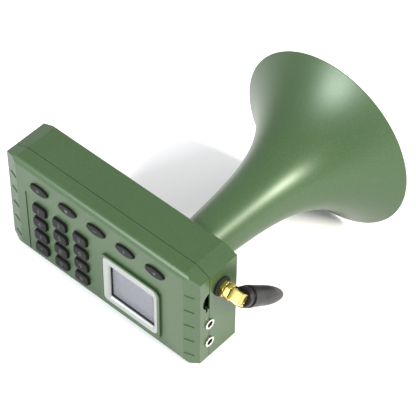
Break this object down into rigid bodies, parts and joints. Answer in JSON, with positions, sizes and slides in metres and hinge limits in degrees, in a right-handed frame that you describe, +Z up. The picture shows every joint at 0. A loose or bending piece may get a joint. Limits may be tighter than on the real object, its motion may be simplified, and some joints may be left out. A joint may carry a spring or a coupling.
{
  "type": "electronic game caller",
  "caption": "Handheld electronic game caller: keypad and screen case on its long side, flared horn on the back, right-angle stub antenna and sockets on one end.",
  "frame": {"origin": "middle of the case's flat underside, on the surface it stands on", "axes": "+X along the case to the socket and antenna end, +Y from the keypad face back into the horn, +Z up"},
  "size_m": [0.1552, 0.1258, 0.102],
  "materials": {
    "green_plastic": "satin moulded plastic in leaf green with a slight metallic sheen",
    "key_rubber": "smooth black silicone rubber keys with a faint sheen",
    "black_rubber": "matt black moulded rubber",
    "antenna_rubber": "smooth matt black rubber moulded over the radiator",
    "silver_plastic": "glossy silver-white moulded plastic",
    "clear_window": "clear polished window",
    "lcd_grey": "grey-lavender display, switched off",
    "white_plastic": "white moulded plastic",
    "board_green": "green solder mask over glass fibre",
    "black_plastic": "matt black moulded plastic",
    "brushed_nickel": "bright nickel-plated metal",
    "gold_brass": "machined brass with a thin gold plating",
    "steel": "zinc-plated steel",
    "diaphragm_film": "thin amber film",
    "copper_wire": "enamelled copper wire",
    "battery_wrap": "blue shrink wrap",
    "grey_foam": "soft grey foam",
    "lead_sleeve": "thin PVC wire sleeve"
  },
  "bodies": {
    "case": {"front_shell": "green_plastic", "rear_shell": "green_plastic", "screen_bezel": "silver_plastic", "screen_gasket": "black_rubber", "screen_window": "clear_window", "screen_panel": "lcd_grey", "screen_holder": "white_plastic", "main_board": "board_green", "board_parts": "black_plastic", "keypad_mat": "black_rubber", "key_switches": "brushed_nickel", "jack_1": "black_plastic", "jack_2": "black_plastic", "jack_rings": "brushed_nickel", "card_socket": "brushed_nickel", "antenna_socket": "gold_brass", "antenna_socket_core": "white_plastic", "antenna_seal": "black_rubber", "antenna_socket_nut": "gold_brass", "horn_bell": "green_plastic", "horn_neck": "green_plastic", "horn_gasket": "black_rubber", "driver_housing": "black_plastic", "pole_piece": "steel", "driver_magnet": "steel", "driver_yoke": "steel", "battery_pack": "battery_wrap", "battery_pad": "grey_foam", "board_leads": "lead_sleeve", "antenna_lead": "lead_sleeve", "case_screws": "steel", "board_screws": "steel"},
    "key_1_body": {"key_1": "key_rubber"},
    "key_2_body": {"key_2": "key_rubber"},
    "key_3_body": {"key_3": "key_rubber"},
    "key_4_body": {"key_4": "key_rubber"},
    "key_5_body": {"key_5": "key_rubber"},
    "key_6_body": {"key_6": "key_rubber"},
    "key_7_body": {"key_7": "key_rubber"},
    "key_8_body": {"key_8": "key_rubber"},
    "key_9_body": {"key_9": "key_rubber"},
    "key_10_body": {"key_10": "key_rubber"},
    "key_11_body": {"key_11": "key_rubber"},
    "key_12_body": {"key_12": "key_rubber"},
    "function_key_1_body": {"function_key_1": "key_rubber"},
    "function_key_2_body": {"function_key_2": "key_rubber"},
    "function_key_3_body": {"function_key_3": "key_rubber"},
    "function_key_4_body": {"function_key_4": "key_rubber"},
    "function_key_5_body": {"function_key_5": "key_rubber"},
    "card": {"memory_card": "black_plastic"},
    "driver_cone": {"diaphragm": "diaphragm_film", "voice_coil": "copper_wire"},
    "nut_ring": {"antenna_nut_ring": "steel"},
    "nut": {"antenna_nut": "gold_brass"},
    "antenna": {"antenna_elbow": "gold_brass", "antenna_elbow_cap": "gold_brass", "antenna_pin": "gold_brass", "antenna_insulator": "white_plastic", "antenna_radiator": "gold_brass", "antenna_stub": "antenna_rubber"}
  },
  "joints": [
    {"name": "key_1_press", "type": "slide", "parent": "case", "child": "key_1_body", "axis": [0, 1, 0], "range_m": [0, 0.0007], "stiffness_N_per_m": 1500},
    {"name": "key_2_press", "type": "slide", "parent": "case", "child": "key_2_body", "axis": [0, 1, 0], "range_m": [0, 0.0007], "stiffness_N_per_m": 1500},
    {"name": "key_3_press", "type": "slide", "parent": "case", "child": "key_3_body", "axis": [0, 1, 0], "range_m": [0, 0.0007], "stiffness_N_per_m": 1500},
    {"name": "key_4_press", "type": "slide", "parent": "case", "child": "key_4_body", "axis": [0, 1, 0], "range_m": [0, 0.0007], "stiffness_N_per_m": 1500},
    {"name": "key_5_press", "type": "slide", "parent": "case", "child": "key_5_body", "axis": [0, 1, 0], "range_m": [0, 0.0007], "stiffness_N_per_m": 1500},
    {"name": "key_6_press", "type": "slide", "parent": "case", "child": "key_6_body", "axis": [0, 1, 0], "range_m": [0, 0.0007], "stiffness_N_per_m": 1500},
    {"name": "key_7_press", "type": "slide", "parent": "case", "child": "key_7_body", "axis": [0, 1, 0], "range_m": [0, 0.0007], "stiffness_N_per_m": 1500},
    {"name": "key_8_press", "type": "slide", "parent": "case", "child": "key_8_body", "axis": [0, 1, 0], "range_m": [0, 0.0007], "stiffness_N_per_m": 1500},
    {"name": "key_9_press", "type": "slide", "parent": "case", "child": "key_9_body", "axis": [0, 1, 0], "range_m": [0, 0.0007], "stiffness_N_per_m": 1500},
    {"name": "key_10_press", "type": "slide", "parent": "case", "child": "key_10_body", "axis": [0, 1, 0], "range_m": [0, 0.0007], "stiffness_N_per_m": 1500},
    {"name": "key_11_press", "type": "slide", "parent": "case", "child": "key_11_body", "axis": [0, 1, 0], "range_m": [0, 0.0007], "stiffness_N_per_m": 1500},
    {"name": "key_12_press", "type": "slide", "parent": "case", "child": "key_12_body", "axis": [0, 1, 0], "range_m": [0, 0.0007], "stiffness_N_per_m": 1500},
    {"name": "function_key_1_press", "type": "slide", "parent": "case", "child": "function_key_1_body", "axis": [0, 1, 0], "range_m": [0, 0.0007], "stiffness_N_per_m": 1500},
    {"name": "function_key_2_press", "type": "slide", "parent": "case", "child": "function_key_2_body", "axis": [0, 1, 0], "range_m": [0, 0.0007], "stiffness_N_per_m": 1500},
    {"name": "function_key_3_press", "type": "slide", "parent": "case", "child": "function_key_3_body", "axis": [0, 1, 0], "range_m": [0, 0.0007], "stiffness_N_per_m": 1500},
    {"name": "function_key_4_press", "type": "slide", "parent": "case", "child": "function_key_4_body", "axis": [0, 1, 0], "range_m": [0, 0.0007], "stiffness_N_per_m": 1500},
    {"name": "function_key_5_press", "type": "slide", "parent": "case", "child": "function_key_5_body", "axis": [0, 1, 0], "range_m": [0, 0.0007], "stiffness_N_per_m": 1500},
    {"name": "card_slide", "type": "slide", "parent": "case", "child": "card", "axis": [1, 0, 0], "range_m": [0, 0.02]},
    {"name": "cone_travel", "type": "slide", "parent": "case", "child": "driver_cone", "axis": [0, 1, 0], "range_m": [-0.00025, 0.00025], "stiffness_N_per_m": 1500},
    {"name": "antenna_draw", "type": "slide", "parent": "case", "child": "nut_ring", "axis": [1, 0, 0], "range_m": [0, 0.00355]},
    {"name": "nut_turn", "type": "hinge", "parent": "nut_ring", "child": "nut", "pos_m": [0.064, 0.00305, 0.0502], "axis": [1, 0, 0], "range_deg": [0, 1812]},
    {"name": "antenna_swivel", "type": "hinge", "parent": "nut_ring", "child": "antenna", "pos_m": [0.064, 0.00305, 0.0502], "axis": [1, 0, 0], "continuous": true}
  ],
  "couplings": [
    {"joint": "nut_turn", "follows": "antenna_draw", "rad_per_m": 8905.6}
  ]
}
